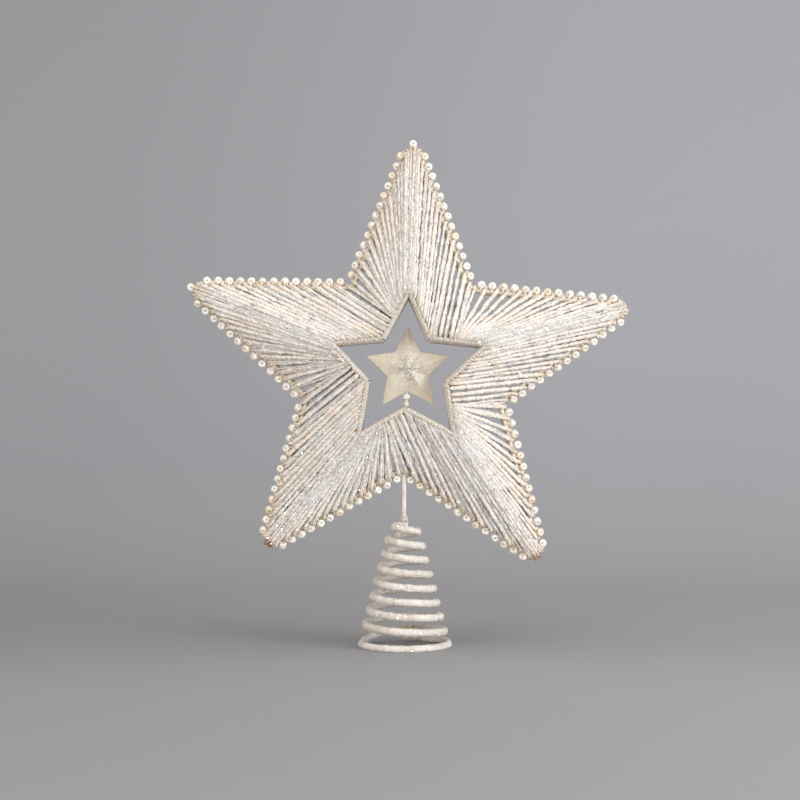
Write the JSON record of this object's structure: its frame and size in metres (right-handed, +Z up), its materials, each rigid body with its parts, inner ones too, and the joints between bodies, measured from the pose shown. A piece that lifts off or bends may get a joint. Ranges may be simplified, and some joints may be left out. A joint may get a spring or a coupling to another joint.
{
  "type": "christmas tree topper star",
  "caption": "Five-pointed wire-frame star wound with glitter thread and edged with beads, with a small faceted star in its open middle, on a stem and conical spring that slips over a tree top.",
  "frame": {"origin": "middle of the spring's foot, on the floor", "axes": "+Z up, the star faces -Y, +X to the viewer's right"},
  "size_m": [0.2173, 0.0473, 0.2508],
  "materials": {
    "wrapped_wire": "glitter thread wrap",
    "thread": "glitter",
    "frame_wire": "satin",
    "bead": "gloss",
    "fine_wire": "satin",
    "small_star": "pearl"
  },
  "bodies": {
    "spring_base": {"spring": "wrapped_wire"},
    "spring_top": {"stem_binding": "thread"},
    "star": {"stem": "frame_wire", "outer_frame": "frame_wire", "front_inner_frame": "frame_wire", "rear_inner_frame": "frame_wire", "front_struts": "frame_wire", "rear_struts": "frame_wire", "top_left_thread": "thread", "top_right_thread": "thread", "right_upper_thread": "thread", "right_lower_thread": "thread", "lower_right_outer_thread": "thread", "lower_right_inner_thread": "thread", "lower_left_inner_thread": "thread", "lower_left_outer_thread": "thread", "left_lower_thread": "thread", "left_upper_thread": "thread", "top_arm_beads": "bead", "right_arm_beads": "bead", "lower_right_arm_beads": "bead", "lower_left_arm_beads": "bead", "left_arm_beads": "bead", "top_arm_bead_wires": "fine_wire", "right_arm_bead_wires": "fine_wire", "lower_right_arm_bead_wires": "fine_wire", "lower_left_arm_bead_wires": "fine_wire", "left_arm_bead_wires": "fine_wire", "star_pin": "fine_wire", "lower_pin_bead": "bead", "upper_pin_bead": "bead"},
    "spinner": {"small_star": "small_star"}
  },
  "joints": [
    {"name": "spring_squeeze", "type": "slide", "parent": "spring_base", "child": "spring_top", "axis": [0, 0, 1], "range_m": [-0.02, 0.004], "stiffness_N_per_m": 400, "springref_m": 0.0018, "deforming": ["spring"]},
    {"name": "star_sway", "type": "hinge", "parent": "spring_top", "child": "star", "pos_m": [0, 0, 0.06292], "axis": [0, 1, 0], "range_deg": [-10, 10], "stiffness_Nm_per_rad": 0.5},
    {"name": "small_star_spin", "type": "hinge", "parent": "star", "child": "spinner", "pos_m": [0.0019, 0, 0.13704], "axis": [0.0393, 0, 0.9992], "continuous": true}
  ]
}
